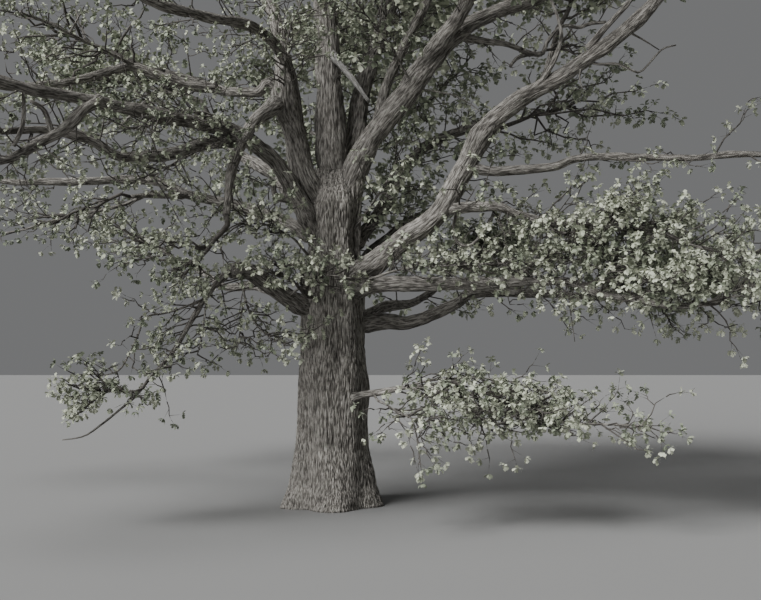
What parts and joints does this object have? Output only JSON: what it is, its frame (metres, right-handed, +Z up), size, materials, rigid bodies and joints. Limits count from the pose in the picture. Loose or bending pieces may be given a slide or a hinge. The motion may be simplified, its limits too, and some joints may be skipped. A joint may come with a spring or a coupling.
{
  "type": "oak tree in young leaf",
  "caption": "Very old open-grown oak with a short thick fluted trunk, long crooked boughs and loose masses of young spring leaves, from a flat cut at ground level.",
  "frame": {"origin": "middle of the flat cut under the trunk, at ground level", "axes": "+Z up along the trunk, -Y towards the near side that the picture shows, +X to the right in the picture"},
  "size_m": [25.6213, 19.96, 19.2317],
  "materials": {
    "bark": "deeply furrowed matt grey-brown bark",
    "dead_wood": "bare weathered silver-grey wood",
    "young_leaf": "soft pale grey-green young leaves, slightly downy"
  },
  "bodies": {
    "root": {"bough_back_far_right": "bark", "bough_back_left": "bark", "bough_back_low_left": "bark", "bough_back_low_right": "bark", "bough_back_mid": "bark", "bough_back_right": "bark", "bough_cross_right": "bark", "bough_front_high": "bark", "bough_inner_stem": "bark", "bough_left_arch": "bark", "bough_left_droop": "bark", "bough_left_leader": "bark", "bough_left_long": "bark", "bough_left_low": "bark", "bough_left_low_fall": "bark", "bough_left_mid": "bark", "bough_left_second": "bark", "bough_left_shelf": "bark", "bough_left_up": "bark", "bough_low_right_droop": "bark", "bough_mid_leader": "bark", "bough_mid_right": "bark", "bough_right_arch": "bark", "bough_right_diag": "bark", "bough_right_leader": "bark", "bough_right_low": "bark", "bough_right_thin": "bark", "bough_right_under": "bark", "bough_right_upper": "bark", "bough_snag": "dead_wood", "leaves_back_far_right": "young_leaf", "leaves_back_left": "young_leaf", "leaves_back_low_left": "young_leaf", "leaves_back_low_right": "young_leaf", "leaves_back_mid": "young_leaf", "leaves_back_right": "young_leaf", "leaves_cross_right": "young_leaf", "leaves_front_high": "young_leaf", "leaves_inner_stem": "young_leaf", "leaves_left_arch": "young_leaf", "leaves_left_droop": "young_leaf", "leaves_left_leader": "young_leaf", "leaves_left_long": "young_leaf", "leaves_left_low_fall": "young_leaf", "leaves_left_mid": "young_leaf", "leaves_left_second": "young_leaf", "leaves_left_shelf": "young_leaf", "leaves_left_up": "young_leaf", "leaves_low_right_droop": "young_leaf", "leaves_mid_leader": "young_leaf", "leaves_mid_right": "young_leaf", "leaves_right_arch": "young_leaf", "leaves_right_diag": "young_leaf", "leaves_right_leader": "young_leaf", "leaves_right_low": "young_leaf", "leaves_right_thin": "young_leaf", "leaves_right_under": "young_leaf", "leaves_right_upper": "young_leaf", "leaves_trunk": "young_leaf", "trunk": "bark"}
  },
  "joints": []
}
